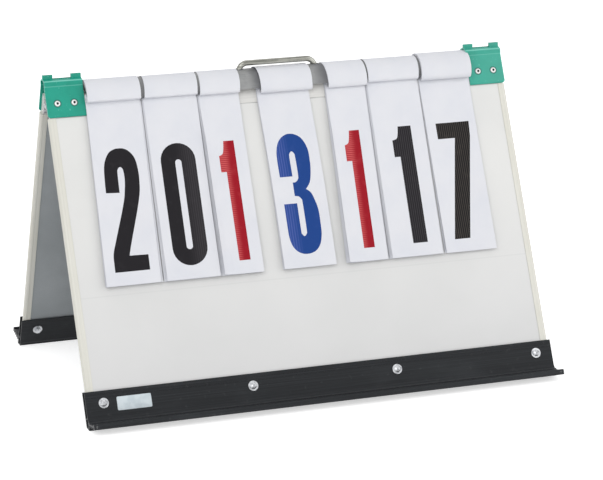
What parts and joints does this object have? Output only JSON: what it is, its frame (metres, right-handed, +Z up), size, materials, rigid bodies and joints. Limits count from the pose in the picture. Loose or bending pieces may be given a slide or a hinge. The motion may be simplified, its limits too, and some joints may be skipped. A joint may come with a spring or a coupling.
{
  "type": "flip scoreboard",
  "caption": "Tabletop A-frame flip scoreboard: hinged boards, ridge cover, number leaves that flip over it, pen trays and a pull-up handle.",
  "frame": {"origin": "on the floor, midway between the two feet and between the two ends", "axes": "+X along the board to the viewer's right, +Y from the front board to the rear board, +Z up"},
  "size_m": [0.604, 0.4306, 0.3939],
  "materials": {
    "board_white": "smooth white enamel, satin gloss",
    "board_grey": "dull grey primer coat",
    "core_brown": "raw hardboard edge",
    "trim_cream": "smooth off-white plastic",
    "foot_black": "dark grey ribbed plastic, light sheen",
    "bracket_green": "green paint, semi-gloss",
    "zinc_steel": "bright zinc plate",
    "cover_grey": "matt grey coating",
    "nickel_wire": "dull nickel plate",
    "bush_grey": "moulded grey nylon",
    "leaf_white": "coated cloth with printed numbers"
  },
  "bodies": {
    "front_frame": {"front_face_sheet": "board_white", "front_core": "core_brown", "front_back_sheet": "board_grey", "front_trim_left": "trim_cream", "front_trim_right": "trim_cream", "front_top_rail": "board_white", "front_foot": "foot_black", "front_foot_screws": "zinc_steel", "front_foot_washers": "zinc_steel", "front_foot_nuts": "zinc_steel", "front_bracket_left": "bracket_green", "front_bracket_right": "bracket_green", "front_rivets": "zinc_steel", "front_hinge_leaves": "zinc_steel", "hinge_pins": "zinc_steel", "ridge_cover": "cover_grey", "cover_saddles": "zinc_steel", "leaf_clamp_bar": "zinc_steel", "clamp_screws": "zinc_steel", "handle_bushes": "bush_grey", "leaf_pad_1": "leaf_white", "leaf_pad_2": "leaf_white", "leaf_pad_3": "leaf_white", "leaf_pad_4": "leaf_white", "leaf_pad_5": "leaf_white", "leaf_pad_6": "leaf_white", "leaf_pad_7": "leaf_white"},
    "rear_frame": {"rear_face_sheet": "board_white", "rear_core": "core_brown", "rear_back_sheet": "board_grey", "rear_trim_left": "trim_cream", "rear_trim_right": "trim_cream", "rear_top_rail": "board_white", "rear_foot": "foot_black", "rear_foot_screws": "zinc_steel", "rear_foot_washers": "zinc_steel", "rear_foot_nuts": "zinc_steel", "rear_bracket_left": "bracket_green", "rear_bracket_right": "bracket_green", "rear_rivets": "zinc_steel", "rear_hinge_leaves": "zinc_steel"},
    "rear_leaves": {"rear_leaves_1": "leaf_white", "rear_leaves_2": "leaf_white", "rear_leaves_3": "leaf_white", "rear_leaves_4": "leaf_white", "rear_leaves_5": "leaf_white", "rear_leaves_6": "leaf_white", "rear_leaves_7": "leaf_white"},
    "handle": {"handle_bail": "nickel_wire", "handle_stop_pins": "zinc_steel"},
    "leaf_1": {"top_leaf_1": "leaf_white"},
    "leaf_2": {"top_leaf_2": "leaf_white"},
    "leaf_3": {"top_leaf_3": "leaf_white"},
    "leaf_4": {"top_leaf_4": "leaf_white"},
    "leaf_5": {"top_leaf_5": "leaf_white"},
    "leaf_6": {"top_leaf_6": "leaf_white"},
    "leaf_7": {"top_leaf_7": "leaf_white"}
  },
  "joints": [
    {"name": "fold", "type": "hinge", "parent": "front_frame", "child": "rear_frame", "pos_m": [0, 0, 0.35511], "axis": [-1, 0, 0], "range_deg": [0, 50.6]},
    {"name": "rear_leaves_swing", "type": "hinge", "parent": "front_frame", "child": "rear_leaves", "pos_m": [0, 0.026, 0.36551], "axis": [-1, 0, 0], "range_deg": [0, 46.1]},
    {"name": "handle_lift", "type": "slide", "parent": "front_frame", "child": "handle", "axis": [0, 0, 1], "range_m": [0, 0.021]},
    {"name": "leaf_1_lift", "type": "hinge", "parent": "front_frame", "child": "leaf_1", "pos_m": [0, -0.02362, 0.35382], "axis": [-1, 0, 0], "range_deg": [0, 95]},
    {"name": "leaf_2_lift", "type": "hinge", "parent": "front_frame", "child": "leaf_2", "pos_m": [0, -0.02425, 0.35412], "axis": [-1, 0, 0], "range_deg": [0, 95]},
    {"name": "leaf_3_lift", "type": "hinge", "parent": "front_frame", "child": "leaf_3", "pos_m": [0, -0.02393, 0.35397], "axis": [-1, 0, 0], "range_deg": [0, 95]},
    {"name": "leaf_4_lift", "type": "hinge", "parent": "front_frame", "child": "leaf_4", "pos_m": [0, -0.0233, 0.35367], "axis": [-1, 0, 0], "range_deg": [0, 95]},
    {"name": "leaf_5_lift", "type": "hinge", "parent": "front_frame", "child": "leaf_5", "pos_m": [0, -0.02393, 0.35397], "axis": [-1, 0, 0], "range_deg": [0, 95]},
    {"name": "leaf_6_lift", "type": "hinge", "parent": "front_frame", "child": "leaf_6", "pos_m": [0, -0.02393, 0.35397], "axis": [-1, 0, 0], "range_deg": [0, 95]},
    {"name": "leaf_7_lift", "type": "hinge", "parent": "front_frame", "child": "leaf_7", "pos_m": [0, -0.02203, 0.35308], "axis": [-1, 0, 0], "range_deg": [0, 95]}
  ],
  "couplings": [
    {"joint": "rear_leaves_swing", "follows": "fold", "ratio": 0.911}
  ]
}
